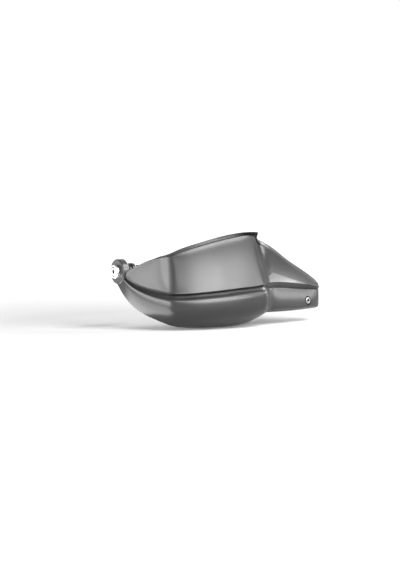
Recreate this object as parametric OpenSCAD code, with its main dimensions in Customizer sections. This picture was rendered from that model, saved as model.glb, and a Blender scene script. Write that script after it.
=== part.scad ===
// Motorcycle hand guard, right-hand side, with its bar-end and inner mounting hardware.
// Frame: origin on the grip axis in the middle of the handlebar clamp, +X inboard along the grip,
// -Y forwards, +Z up. The shell is lofted along a plan path from the eye to the clamp arm.

/* [Shell] */
// Wall of the moulding
wall = 3; // [2.4:0.1:3.6]
// Depth of the styling groove under the panel
groove_depth = 4; // [2:0.5:5]
// How far the belt swells in front of the groove
belly = 8.5; // [4:0.5:11]
// How far the upper panel leans back at its middle
panel_lean = 17.5; // [10:0.5:22]
// Depth of the valley between the panel and the wing
valley_depth = 4; // [2:0.5:8]
// Set-back of the arm's face under the ledge
arm_setback = 1.6; // [1:0.1:3]

/* [Bar end] */
// Outer diameter of the shell's eye
eye_d = 38; // [34:1:42]
// Thickness of the eye along the grip axis
eye_t = 10.5; // [8:0.5:13]
// Diameter of the bar-end screw
end_screw_d = 8; // [6:1:8]
// Diameter of the bar-end screw's head
end_head_d = 13; // [11:0.5:14]
// Height of the bar-end screw's head
end_head_h = 4.4; // [3:0.2:5]
// Outer diameter of the cup washer
cap_d = 21; // [19:0.5:24]
// Height of the cup washer
cap_h = 6.2; // [5:0.2:8]
// Wall of the bush in the eye
bush_wall = 2; // [1.5:0.25:3]
// Length of the turned spacer
spacer_len = 18; // [12:1:26]
// Outer diameter of the turned spacer
spacer_d = 24; // [20:1:28]
// Thickness of the washer on the tube's end
end_washer_t = 1.5; // [1:0.5:2.5]
// Outer diameter of the handlebar tube
bar_d = 22.2; // [20:0.1:25.4]
// Height of the spigot that centres the stack in the tube
spigot_h = 1.5; // [1:0.5:3]
// Diameter of the expanding rubber plug
plug_d = 17.4; // [14:0.2:18]
// Length of the expanding rubber plug
plug_len = 24; // [16:1:36]
// Length of the cone nut behind the plug
cone_len = 12; // [8:1:18]

/* [Inner mount] */
// Diameter of the arm's screw
arm_screw_d = 6; // [5:0.5:6]
// Diameter of the arm screw's head
arm_head_d = 10.4; // [9:0.2:11]
// Height of the arm screw's head
arm_head_h = 4.2; // [2.6:0.2:5]
// Diameter of the counterbore in the arm
recess_d = 13.8; // [12.6:0.2:15]
// Depth of the counterbore in the arm
recess_depth = 3.6; // [2:0.2:5]
// Thickness of the arm's washers
washer_t = 1.2; // [0.8:0.1:1.6]
// Diameter of the boss behind the arm's face
boss_d = 22; // [19:1:25]
// Length of the boss, from the arm's face
boss_len = 14; // [10:1:18]
// Wall of the sleeve in the boss
sleeve_wall = 1.5; // [1:0.25:2]
// Thickness of the rubber washer between boss and bracket
pad_t = 2; // [1:0.5:3]
// Thickness of the steel bracket
plate_t = 3; // [2:0.5:4]
// Width of the bracket's tabs
plate_w = 22; // [18:1:26]
// Width of the handlebar clamp along the bar
clamp_w = 16; // [12:1:20]
// Wall of the handlebar clamp
clamp_wall = 5; // [4:0.5:7]
// Thickness of the clamp's rubber liner
liner_t = 1; // [0.5:0.25:1.5]
// Diameter of the clamp's screws
clamp_screw_d = 5; // [4:0.5:5]
// Gap between the clamp's halves
clamp_gap = 2; // [1:0.5:3]

/* [Hidden] */
$fn = 48;

// Clearance of a screw in its hole, on the diameter
screw_play = 0.6;
// Clearance of a sleeve or bush in its bore, on the diameter
fit_play = 0.2;
// How far the eye stands proud of the lofted skin
eye_proud = 0.6;
// Thickness of the steel washer between tube end and plug
plug_washer_t = 1.5;
moulding = [0.27, 0.28, 0.29];
steel = [0.72, 0.73, 0.75];
black_metal = [0.13, 0.13, 0.14];
rubber = [0.08, 0.08, 0.08];

// The guard's own frame has its zero on the grip axis near the eye's outer face
skin_x = 3;
eye_x = skin_x - eye_proud;
eye_in = eye_x + eye_t;
seat_x = eye_in + spacer_len + end_washer_t;
stack_x = seat_x + spigot_h;
// The part's origin is the middle of the handlebar clamp, this far along the guard's own frame
clamp_x = 276;
frame_x = clamp_x + clamp_w / 2;

// Plan path of the skin: length, turn in degrees and steps of each leg, from the eye inboard
path_start = [skin_x, 4];
path_heading = 90;
legs = [[18.8, -36, 5], [64, 0, 9], [14, -29, 5], [80, -25, 10], [70, -5, 9],
    [17, -52, 8], [13, 43, 6], [11.54, 0, 4], [93.5, 0, 9], [13, -60, 5], [9, 0, 1]];
arm_heading = -14;

// Heights of the feature lines over x
groove_top = [[3, -3], [7.5, -5.7], [11, -12], [18, -18.5], [29, -24.3], [49, -30], [63, -30.7],
    [91, -29.5], [126, -27.5], [163, -25.4], [196, -23.6], [208, -21.8], [227, -21.4],
    [303, -28.9], [338, -35.2]];
groove_foot = [[3, -5.2], [10, -17.5], [17, -23.8], [25, -29], [36, -34], [49.5, -36.8],
    [64, -37.3], [92, -35.8], [127, -34], [165, -31.4], [206, -29.8], [229, -30], [322, -38.4],
    [338, -39.5]];
panel_top = [[3, -2.2], [7, -1], [14, 4.5], [22, 11], [32.5, 18], [47, 23.2], [56, 26], [69, 30.3],
    [87, 35.6], [106, 40], [134, 45.5], [168, 50.4], [186, 52.1], [200, 51.6], [206, 48.6],
    [210, 43.6], [216, 40], [248, 19.8], [272, 3.7], [302, -13], [326, -26], [338, -31.5]];
lip_top = [[3, -1.4], [36, 20.4], [50, 27.6], [69, 35.8], [87, 41], [106, 45.3], [134, 50.9],
    [168, 55.8], [186, 57.6], [200, 58], [205, 57], [209, 50.6], [216, 46.6], [248, 27.7],
    [272, 11.4], [302, -5.3], [326, -19.5], [338, -28]];
bottom_edge = [[3, -11.6], [9, -31.5], [16.4, -46.7], [30, -62.6], [44, -71.7], [55, -78.7],
    [66, -82], [84, -83.8], [115, -85], [140, -85.3], [171, -84.4], [194, -80.4], [206, -75],
    [214, -70.8], [222, -68.8], [250, -68.2], [293, -68.7], [338, -68.3]];
ledge_top = [[200, -17.5], [206, -17], [216, -18.4], [240, -7.5], [312, -30.2], [338, -34.9]];

// Set-backs of the feature lines behind the plan path, over x
lean_share = [[3, 0], [20, 0.22], [50, 0.57], [100, 0.88], [135, 1], [206, 0.86]];
ledge_back = [[200, 1], [206, 1], [216, 0.9], [240, 8.3], [312, 0.8], [338, 0.6]];
rim_back = [[200, 20], [210, 22], [227, 12.5], [248, 9.8], [302, 5.2], [338, 2.5]];
tuck = [[3, 10.6], [20, 11.5], [50, 16], [80, 20], [110, 22.5], [200, 23], [225, 15], [338, 13]];
belly_share = [[3, 0.1], [12, 0.3], [30, 0.5], [60, 0.85], [100, 1], [190, 1], [212, 0.8],
    [230, 0], [338, 0]];
lip_step = [[3, 0.4], [40, 0.6], [60, 2.2], [200, 2.3], [209, 0.3], [213, 0.1],
    [217, 0.1], [338, 0.1]];
lip_flare = [[3, 0], [60, 0.5], [150, 2], [186, 4.5], [200, 10], [205, 9.5], [210, -1],
    [216, -4], [222, -5], [228, -5], [338, -5]];
corner_x = 205.5;
valley_len = 21;
rake = 5;

// Section shares from the groove's foot (0) to the bottom edge (1)
bulge_form = [[0, 0], [0.07, 0.66], [0.21, 0.95], [0.4, 1], [0.61, 0.83], [0.81, 0.5], [0.94, 0.2],
    [1, 0]];
belt_tuck = [[0, 0], [0.4, 0], [0.61, 0.05], [0.81, 0.3], [0.94, 0.7], [1, 1]];
arm_tuck = [[0, 0], [0.7, 0], [0.84, 0.05], [0.94, 0.35], [1, 1]];
lip_rows = 3;
belt_rows = [0.035, 0.07, 0.13, 0.21, 0.31, 0.42, 0.54, 0.66, 0.77, 0.86, 0.93, 0.97, 1];
panel_rows = [1, 0.95, 0.86, 0.74, 0.6, 0.45, 0.3, 0.15, 0];

// Smooth curve through keys of the form [place, value]
function cell(k, x, i = 0) = i >= len(k) - 2 || x < k[i + 1][0] ? i : cell(k, x, i + 1);
function rise(k, i) = (k[i + 1][1] - k[i][1]) / (k[i + 1][0] - k[i][0]);
function slope(k, i) = i == 0 ? rise(k, 0)
    : i == len(k) - 1 ? rise(k, i - 1)
    : let (a = k[i][0] - k[i - 1][0], b = k[i + 1][0] - k[i][0])
        (b * rise(k, i - 1) + a * rise(k, i)) / (a + b);
function curve(k, x) =
    let (i = cell(k, x), a = k[i], b = k[i + 1], h = b[0] - a[0],
        t = min(1, max(0, (x - a[0]) / h)), s = t * t * (3 - 2 * t))
        a[1] * (1 - s) + b[1] * s + h * t * (1 - t) * ((1 - t) * slope(k, i) - t * slope(k, i + 1));
// Straight lines through the same kind of keys, for crisp edges
function line(k, x) = let (i = cell(k, x), t = (x - k[i][0]) / (k[i + 1][0] - k[i][0]))
    k[i][1] + (k[i + 1][1] - k[i][1]) * min(1, max(0, t));
function ease(t) = let (c = min(1, max(0, t))) c * c * (3 - 2 * c);
function mix(a, b, t) = a + (b - a) * t;
function unit(v) = v / norm(v);

// A point and heading at a length along a leg of the path
function along(p, h, length, turn) =
    turn == 0 ? p + length * [cos(h), sin(h)]
    : let (r = length * 180 / (turn * PI)) p + r * [sin(h + turn) - sin(h), cos(h) - cos(h + turn)];
function walk(p, h, i = 0) =
    i == len(legs) ? [[p[0], p[1], h]]
    : let (leg = legs[i], n = leg[2])
        concat([for (j = [0 : n - 1])
                let (q = along(p, h, leg[0] * j / n, leg[1] * j / n)) [q[0], q[1], h + leg[1] * j / n]],
            walk(along(p, h, leg[0], leg[1]), h + leg[1], i + 1));
stations = walk(path_start, path_heading);

// One section of the skin as [set-back, height] pairs, from the lip down to the bottom edge
function section(x) =
    let (zp = curve(groove_top, x), zg = curve(groove_foot, x), zt = curve(panel_top, x),
        zl = max(zt + 0.6, curve(lip_top, x)), zb = curve(bottom_edge, x),
        right = ease((x - corner_x) / valley_len), turned = ease((x - corner_x + 3) / 10),
        zw = mix(zp + min(3, 0.3 * (zt - zp)), line(ledge_top, x), turned),
        lean = panel_lean * curve(lean_share, x), armed = ease((x - 200) / 28),
        valley = valley_depth * sin(180 * pow(min(1, max(0, (x - corner_x) / valley_len)), 0.75)),
        depth = groove_depth * min(1, (zp - zg) / 6.5),
        foot = mix(depth * 0.45, arm_setback, armed), swell = belly * max(0, curve(belly_share, x)),
        step = curve(lip_step, x), flare = curve(lip_flare, x), under = curve(tuck, x) - foot,
        on_panel = function (z) let (t = (z - zp) / (zt - zp)) lean * t * (1.63 - 0.63 * t),
        ledge = mix(on_panel(zw), line(ledge_back, x), turned),
        on_wing = function (z) mix(ledge, curve(rim_back, x), (z - zw) / (zt - zw)),
        top = mix(on_panel(zt), on_wing(zt), right))
    concat(
        [[top + step - flare, zl], [top + step - 0.4 * flare, mix(zt, zl, 0.62)], [top + step, zt + 0.9]],
        [for (t = panel_rows)
            let (z = mix(zw, zt, t))
                [mix(on_panel(z), on_wing(z), right) + valley * pow(sin(min(90, 70 * t + 20)), 2) * t, z]],
        [[mix(ledge, 0.2, 0.5), mix(zw, zp, 0.5)], [0, zp + 0.5], [0.7, zp - 0.3]],
        [[depth, mix(zp, zg, mix(0.5, 0.85, armed))], [foot, zg]],
        [for (t = belt_rows)
            [foot + under * mix(curve(belt_tuck, t), curve(arm_tuck, t), armed)
                - swell * curve(bulge_form, t), mix(zg, zb, t)]]);

// The outer skin: a grid of points, one row of the list for each station
function spread(h) = 1 / max(0.59, cos(max(0, h)));
function raked(x, z, zt, zp) =
    x - rake * max(0, (z - zp) / (zt - zp)) * ease((x - 150) / 50) * (1 - ease((x - 208) / 40));
skin = [for (s = stations)
    let (zt = curve(panel_top, s[0]), zp = curve(groove_top, s[0]))
        [for (p = section(s[0])) [raked(s[0], p[1], zt, zp), p[0] * spread(s[2]) - s[1], p[1]]]];
rows = len(skin[0]);
cols = len(skin);
function at(g, c, r) = g[min(cols - 1, max(0, c))][min(rows - 1, max(0, r))];
facing = [for (c = [0 : cols - 1]) [for (r = [0 : rows - 1])
    unit(cross(at(skin, c + 1, r) - at(skin, c - 1, r), at(skin, c, r - 1) - at(skin, c, r + 1)))]];
function sum(v, i = 0, s = [0, 0, 0]) = i == len(v) ? s : sum(v, i + 1, s + v[i]);
// The wall's direction is smoothed over neighbours. The lip's rows share the panel's, and by the
// eye it turns square to the path
smooth = [for (c = [0 : cols - 1])
    let (h = stations[c][2], square = [-sin(h), -cos(h), 0], near = ease((stations[c][0] - 6) / 24))
        [for (r = [0 : rows - 1])
            let (q = max(lip_rows + 1, r))
                unit(mix(square, unit(sum([for (i = [-1 : 1]) for (j = [-2 : 2]) at(facing, c + i, q + j)])),
                    near))]];
lining = [for (c = [0 : cols - 1]) [for (r = [0 : rows - 1]) skin[c][r] - wall * smooth[c][r]]];

function strip(a, b, c, d) = [[a, b, c], [a, c, d]];

module lofted_wall() {
    n = rows * cols;
    id = function (c, r) c * rows + r;
    outer = [for (c = [0 : cols - 2]) for (r = [0 : rows - 2])
        each strip(id(c, r), id(c + 1, r), id(c + 1, r + 1), id(c, r + 1))];
    inner = [for (f = outer) [f[0] + n, f[2] + n, f[1] + n]];
    rims = [for (c = [0 : cols - 2]) each concat(
        strip(id(c, 0), n + id(c, 0), n + id(c + 1, 0), id(c + 1, 0)),
        strip(id(c, rows - 1), id(c + 1, rows - 1), n + id(c + 1, rows - 1), n + id(c, rows - 1)))];
    ends = [for (r = [0 : rows - 2]) each concat(
        strip(id(0, r), id(0, r + 1), n + id(0, r + 1), n + id(0, r)),
        strip(id(cols - 1, r), n + id(cols - 1, r), n + id(cols - 1, r + 1), id(cols - 1, r + 1)))];
    points = concat([for (c = skin) each c], [for (c = lining) each c]);
    polyhedron(points = points, faces = concat(outer, inner, rims, ends), convexity = 8);
}

// Bar-end stack, drawn along +Z and then laid along the grip axis
module on_grip(x) {
    translate([x - frame_x, 0, 0])
        rotate([0, 90, 0])
            children();
}

// The arm's screw axis: a point on the arm's face, and its direction into the arm
arm_screw_x = 311.5;
arm_screw_z = -54.4;
arm_from = [228.8, 80.5];
arm_run = (arm_screw_x - arm_from[0]) / cos(arm_heading);
arm_point = arm_from + arm_run * [cos(arm_heading), sin(arm_heading)]
    - arm_setback * [-sin(arm_heading), cos(arm_heading)];

// Children are drawn along +Z: zero on the arm's face, positive going in
module on_arm(depth = 0) {
    translate([arm_point[0] - frame_x, -arm_point[1], arm_screw_z])
        rotate([0, 0, -arm_heading])
            rotate([-90, 0, 0])
                translate([0, 0, depth])
                    children();
}

bush_d = end_screw_d + screw_play + 2 * bush_wall;
sleeve_d = arm_screw_d + screw_play + 2 * sleeve_wall;

module tube(outer, inner, length) {
    difference() {
        cylinder(d = outer, h = length);
        translate([0, 0, -1])
            cylinder(d = inner, h = length + 2);
    }
}

module rounded_disc(d, h, r) {
    rotate_extrude()
        difference() {
            square([d / 2, h]);
            translate([d / 2 - r, -1])
                difference() {
                    square([r + 1, r + 1]);
                    translate([0, r + 1])
                        circle(r);
                }
        }
}

module guard_shell() {
    color(moulding)
        difference() {
            union() {
                translate([-frame_x, 0, 0])
                    lofted_wall();
                on_grip(eye_x)
                    rounded_disc(eye_d, eye_t, 2);
                on_arm(wall / 2)
                    cylinder(d = boss_d, h = boss_len - wall / 2);
            }
            on_grip(eye_x - 2)
                cylinder(d = bush_d + fit_play, h = eye_t + 22);
            on_grip(eye_in)
                cylinder(d = spacer_d + 2, h = 12);
            on_arm(-5)
                cylinder(d = recess_d, h = recess_depth + 5);
            on_arm(0)
                cylinder(d = sleeve_d + fit_play, h = boss_len + 1);
        }
}

// Socket for a hexagon key, sunk into a face at z = 0 and going up
module hex_socket(across, depth) {
    translate([0, 0, -1])
        cylinder(d = across / cos(30), h = depth + 1, $fn = 6);
}

recess_floor = cap_h - 1.8;

module bar_end_screw() {
    shank = eye_t + spacer_len + end_washer_t + spigot_h + plug_washer_t + plug_len + cone_len;
    color(steel)
        on_grip(eye_x - cap_h + recess_floor - end_head_h)
            difference() {
                union() {
                    rounded_disc(end_head_d, end_head_h, 1);
                    translate([0, 0, end_head_h - 0.5])
                        cylinder(d = end_screw_d, h = shank + cap_h - recess_floor);
                }
                hex_socket(5, 2.6);
            }
}

module bar_end_cap() {
    color(steel)
        on_grip(eye_x - cap_h)
            difference() {
                rounded_disc(cap_d, cap_h, 1.4);
                translate([0, 0, -1])
                    cylinder(d = end_head_d + 2 * screw_play, h = recess_floor + 1);
                translate([0, 0, -1])
                    cylinder(d = end_screw_d + screw_play, h = cap_h + 2);
            }
}

module bar_end_bush() {
    color(steel)
        on_grip(eye_x)
            tube(bush_d, end_screw_d + screw_play, eye_t);
}

module bar_end_spacer() {
    hole = (end_screw_d + screw_play) / 2;
    rim = spacer_d / 2;
    waist = rim - 2;
    color(black_metal)
        on_grip(eye_in)
            rotate_extrude()
                polygon([[hole, 0], [rim - 1, 0], [rim, 1], [rim, spacer_len * 0.3],
                    [waist, spacer_len * 0.38], [waist, spacer_len * 0.62], [rim, spacer_len * 0.7],
                    [rim, spacer_len - 1], [rim - 1, spacer_len], [hole, spacer_len]]);
}

module bar_end_washer() {
    color(steel)
        on_grip(eye_in + spacer_len)
            difference() {
                union() {
                    cylinder(d = bar_d, h = end_washer_t);
                    cylinder(d = plug_d + fit_play, h = end_washer_t + spigot_h);
                }
                translate([0, 0, -1])
                    cylinder(d = end_screw_d + screw_play, h = end_washer_t + spigot_h + 2);
            }
}

module plug_washer() {
    color(steel)
        on_grip(stack_x)
            tube(plug_d - 0.4, end_screw_d + screw_play, plug_washer_t);
}

module plug_rubber() {
    color(rubber)
        on_grip(stack_x + plug_washer_t)
            tube(plug_d, end_screw_d + screw_play, plug_len);
}

module plug_cone() {
    color(steel)
        on_grip(stack_x + plug_washer_t + plug_len)
            difference() {
                rotate_extrude()
                    polygon([[0, 0], [plug_d / 2 - 0.2, 0], [plug_d / 2 - 0.2, cone_len * 0.4],
                        [plug_d / 2 - 2, cone_len], [0, cone_len]]);
                translate([0, 0, -1])
                    cylinder(d = end_screw_d + fit_play, h = cone_len + 2);
            }
}

// Depths along the arm's screw, from the arm's face
pad_z = boss_len;
plate_z = pad_z + pad_t;
back_z = plate_z + plate_t;
nut_z = back_z + washer_t;
nut_h = arm_screw_d * 0.85;

module arm_screw() {
    color(steel)
        on_arm(recess_depth - washer_t - arm_head_h)
            difference() {
                union() {
                    rounded_disc(arm_head_d, arm_head_h, 1.2);
                    translate([0, 0, arm_head_h - 0.5])
                        cylinder(d = arm_screw_d, h = nut_z + nut_h + 2.5 - recess_depth + washer_t);
                }
                hex_socket(4, 2);
            }
}

module arm_washer() {
    color(steel)
        on_arm(recess_depth - washer_t)
            tube(recess_d - 1, arm_screw_d + screw_play, washer_t);
}

module arm_sleeve() {
    color(steel)
        on_arm(recess_depth)
            tube(sleeve_d, arm_screw_d + screw_play, boss_len - recess_depth);
}

module arm_pad() {
    color(rubber)
        on_arm(pad_z)
            tube(boss_d - 2, arm_screw_d + screw_play, pad_t);
}

module arm_back_washer() {
    color(steel)
        on_arm(back_z)
            tube(arm_screw_d * 2.1, arm_screw_d + screw_play, washer_t);
}

module arm_nut() {
    color(steel)
        on_arm(nut_z)
            difference() {
                cylinder(d = arm_screw_d * 1.92, h = nut_h, $fn = 6);
                translate([0, 0, -1])
                    cylinder(d = arm_screw_d + fit_play, h = nut_h + 2);
            }
}

// The handlebar clamp sits on the grip axis, behind the arm
clamp_bore = bar_d + 2 * liner_t + fit_play;
clamp_out = clamp_bore + 2 * clamp_wall;
ear_y = clamp_bore / 2 + 0.9 * clamp_screw_d;
ear_w = ear_y + clamp_screw_d;
ear_h = 1.4 * clamp_screw_d;
lug_r = 1.5 * arm_screw_d;
lug_y = -ear_w - 0.9 * lug_r;
lug_z = -clamp_out / 2 - 0.2 * lug_r;

// The bracket's web is a flat plate across the bar; its tab is bent to lie on the arm's boss
web_x = clamp_x + clamp_w;
plate_mid = plate_z + plate_t / 2;
tab_reach = (web_x + plate_t / 2 - arm_point[0] - plate_mid * sin(arm_heading)) / cos(arm_heading);
tab_y = plate_mid * cos(arm_heading) - arm_point[1] - tab_reach * sin(arm_heading);
tab_corner = 0.18 * plate_w;

module inner_bracket() {
    color(black_metal)
        difference() {
            union() {
                translate([web_x - frame_x, 0, 0])
                    rotate([90, 0, 90])
                        linear_extrude(plate_t)
                            hull() {
                                translate([lug_y, lug_z])
                                    circle(lug_r);
                                for (side = [-1, 1])
                                    translate([tab_y + tab_corner - plate_t / 2,
                                            arm_screw_z + side * (plate_w / 2 - tab_corner)])
                                        circle(tab_corner);
                            }
                on_arm(plate_z)
                    linear_extrude(plate_t)
                        hull() {
                            circle(d = plate_w);
                            translate([tab_reach - plate_t / 2, -plate_w / 2])
                                square([plate_t, plate_w]);
                        }
            }
            on_arm(plate_z - 1)
                cylinder(d = arm_screw_d + screw_play, h = plate_t + 2);
            translate([web_x - frame_x - 1, lug_y, lug_z])
                rotate([0, 90, 0])
                    cylinder(d = arm_screw_d + screw_play, h = plate_t + 2);
        }
}

// One half of the clamp as a plain extrusion, with its ears: 1 for the upper, -1 for the lower
module clamp_half(side) {
    translate([clamp_x - frame_x, 0, 0])
        rotate([90, 0, 90])
            linear_extrude(clamp_w)
                intersection() {
                    union() {
                        circle(d = clamp_out);
                        translate([-ear_w, side > 0 ? 0 : -ear_h])
                            square([2 * ear_w, ear_h]);
                    }
                    translate([-ear_w - 1, side > 0 ? clamp_gap / 2 : -clamp_out])
                        square([2 * ear_w + 2, clamp_out - clamp_gap / 2]);
                }
}

// What is cut from a half: the bore, the two screw holes and the seats of their washers
module clamp_cuts(hole_d) {
    translate([clamp_x - frame_x - 1, 0, 0])
        rotate([0, 90, 0])
            cylinder(d = clamp_bore, h = clamp_w + 2);
    for (y = [-ear_y, ear_y])
        translate([clamp_x + clamp_w / 2 - frame_x, y, 0]) {
            translate([0, 0, -clamp_out])
                cylinder(d = hole_d, h = 2 * clamp_out);
            translate([0, 0, ear_h])
                cylinder(d = clamp_screw_d * 1.8 + 1, h = clamp_out);
        }
}

module clamp_upper() {
    color(black_metal)
        difference() {
            clamp_half(1);
            clamp_cuts(clamp_screw_d + screw_play);
        }
}

module clamp_lower() {
    color(black_metal)
        difference() {
            union() {
                clamp_half(-1);
                translate([clamp_x - frame_x, 0, 0])
                    rotate([90, 0, 90])
                        linear_extrude(clamp_w)
                            difference() {
                                hull() {
                                    translate([lug_y, lug_z])
                                        circle(lug_r);
                                    translate([-ear_w + 3, -ear_h + 1])
                                        square([1, 1]);
                                    translate([-4, -clamp_out / 2 + 2])
                                        square([2, 1]);
                                }
                                circle(d = clamp_bore);
                            }
            }
            clamp_cuts(clamp_screw_d + fit_play);
            translate([clamp_x - frame_x - 1, lug_y, lug_z])
                rotate([0, 90, 0])
                    cylinder(d = arm_screw_d + fit_play, h = clamp_w + 2);
        }
}

module liner(side) {
    translate([clamp_x - frame_x, 0, 0])
        rotate([90, 0, 90])
            linear_extrude(clamp_w)
                intersection() {
                    difference() {
                        circle(d = clamp_bore - fit_play / 2);
                        circle(d = bar_d);
                    }
                    translate([-clamp_bore, side > 0 ? clamp_gap / 2 : -clamp_bore])
                        square([2 * clamp_bore, clamp_bore - clamp_gap / 2]);
                }
}

module liner_upper() {
    color(rubber)
        liner(1);
}

module liner_lower() {
    color(rubber)
        liner(-1);
}

module clamp_screws() {
    head_d = clamp_screw_d * 1.7;
    color(steel)
        for (y = [-ear_y, ear_y])
            translate([clamp_x + clamp_w / 2 - frame_x, y, ear_h + washer_t])
                difference() {
                    union() {
                        cylinder(d = head_d, h = clamp_screw_d);
                        translate([0, 0, -2 * ear_h - washer_t])
                            cylinder(d = clamp_screw_d, h = 2 * ear_h + washer_t + 0.5);
                    }
                    translate([0, 0, clamp_screw_d - 2.5])
                        cylinder(d = 4 / cos(30), h = 4, $fn = 6);
                }
}

module clamp_washers() {
    color(steel)
        for (y = [-ear_y, ear_y])
            translate([clamp_x + clamp_w / 2 - frame_x, y, ear_h])
                tube(clamp_screw_d * 1.8, clamp_screw_d + screw_play, washer_t);
}

module bracket_screw() {
    color(steel)
        translate([web_x + plate_t + washer_t - frame_x, lug_y, lug_z])
            rotate([0, 90, 0])
                difference() {
                    union() {
                        cylinder(d = arm_head_d, h = arm_head_h);
                        translate([0, 0, -plate_t - washer_t - clamp_w + 1])
                            cylinder(d = arm_screw_d, h = plate_t + washer_t + clamp_w - 0.5);
                    }
                    translate([0, 0, arm_head_h - 2])
                        cylinder(d = 4 / cos(30), h = 4, $fn = 6);
                }
}

module bracket_washer() {
    color(steel)
        translate([web_x + plate_t - frame_x, lug_y, lug_z])
            rotate([0, 90, 0])
                tube(arm_screw_d * 2.1, arm_screw_d + screw_play, washer_t);
}

guard_shell();
bar_end_screw();
bar_end_cap();
bar_end_bush();
bar_end_spacer();
bar_end_washer();
plug_washer();
plug_rubber();
plug_cone();
arm_screw();
arm_washer();
arm_sleeve();
arm_pad();
inner_bracket();
arm_back_washer();
arm_nut();
clamp_upper();
clamp_lower();
liner_upper();
liner_lower();
clamp_screws();
clamp_washers();
bracket_screw();
bracket_washer();
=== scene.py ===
"""Motorcycle hand guard, right-hand side: finishes, turned parts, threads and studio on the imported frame.

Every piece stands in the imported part's frame: origin on the grip axis in the middle of the handlebar
clamp, X inboard along the grip, -Y forwards, Z up. Sizes in the classes are in millimetres.
"""

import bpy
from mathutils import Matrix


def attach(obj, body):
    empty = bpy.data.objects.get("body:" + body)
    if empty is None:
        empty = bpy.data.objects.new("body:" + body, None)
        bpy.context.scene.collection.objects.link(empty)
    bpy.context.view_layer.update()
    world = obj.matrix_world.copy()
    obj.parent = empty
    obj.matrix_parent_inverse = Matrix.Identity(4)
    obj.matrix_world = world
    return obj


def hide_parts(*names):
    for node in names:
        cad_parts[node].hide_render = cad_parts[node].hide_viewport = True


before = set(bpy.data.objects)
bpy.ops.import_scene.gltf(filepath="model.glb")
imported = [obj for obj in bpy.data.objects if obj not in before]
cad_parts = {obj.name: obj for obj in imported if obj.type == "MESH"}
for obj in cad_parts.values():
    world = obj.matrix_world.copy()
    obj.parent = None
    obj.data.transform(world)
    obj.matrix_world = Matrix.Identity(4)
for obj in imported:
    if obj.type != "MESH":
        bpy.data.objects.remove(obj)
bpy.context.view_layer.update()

import logging
import math
from dataclasses import dataclass
from enum import Enum
from typing import Callable, Iterable, Sequence

import bmesh
import bpy
from mathutils import Euler, Matrix, Vector

log = logging.getLogger("hand_guard")
MM = 0.001
BODY = "root"
WHITE = (1.0, 1.0, 1.0, 1.0)
Colour = tuple[float, float, float]
Point = tuple[float, float, float]
Span = tuple[float, float, float, float]
BMesh = bmesh.types.BMesh
Material = bpy.types.Material
Socket = bpy.types.NodeSocket
Sockets = bpy.types.NodeOutputs


class Slot(Enum):
    """The material slots."""

    MOULDING = "moulding"
    BRIGHT_STEEL = "bright_steel"
    ALUMINIUM = "turned_aluminium"
    BLACK_METAL = "black_metal"
    BLACK_STEEL = "black_steel"
    RUBBER = "rubber"


class Form(Enum):
    """Outline of one ring of a turned piece, seen along its axis."""

    ROUND = "round"
    HEXAGON = "hexagon"
    KNURL = "knurl"


class Axis(Enum):
    """Where a turned piece's own axis lies: its origin in mm and its turn as Euler angles in degrees."""

    GRIP = ((0.0, 0.0, 0.0), (0.0, 90.0, 0.0))
    ARM = ((27.113, -58.328, -54.4), (-90.0, 0.0, 14.0))
    UPRIGHT = ((0.0, 0.0, 0.0), (0.0, 0.0, 0.0))

    @property
    def origin(self) -> Vector:
        """Origin of the axis in metres."""
        return Vector(self.value[0]) * MM

    @property
    def turn(self) -> Euler:
        """Turn of the axis."""
        return Euler([math.radians(a) for a in self.value[1]])

    def place(self, depth: float = 0.0, shift: Sequence[float] = (0.0, 0.0, 0.0)) -> Matrix:
        """Placement of a piece drawn along +Z.

        Args:
            depth: distance along the axis, in mm.
            shift: extra offset in the part's frame, in mm.

        Returns:
            The matrix that takes the drawn piece, in mm, to its place in metres.
        """
        turn = self.turn.to_matrix().to_4x4()
        return (Matrix.Translation(self.origin + Vector(shift) * MM) @ turn
                @ Matrix.Translation((0.0, 0.0, depth * MM)) @ Matrix.Scale(MM, 4))


def ramp(value: float, start: float, end: float) -> float:
    """Share of the way from start to end, kept between 0 and 1."""
    return min(1.0, max(0.0, (value - start) / (end - start)))


def plateau(value: float, span: Sequence[float]) -> float:
    """Height between 0 and 1 that rises over a span's first two numbers and falls over its last two."""
    return ramp(value, span[0], span[1]) * ramp(value, span[3], span[2])


def soft(share: float) -> float:
    """Softens both ends of a share between 0 and 1."""
    return share * share * (3.0 - 2.0 * share)


# Node groups: effects that several finishes share


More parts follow.
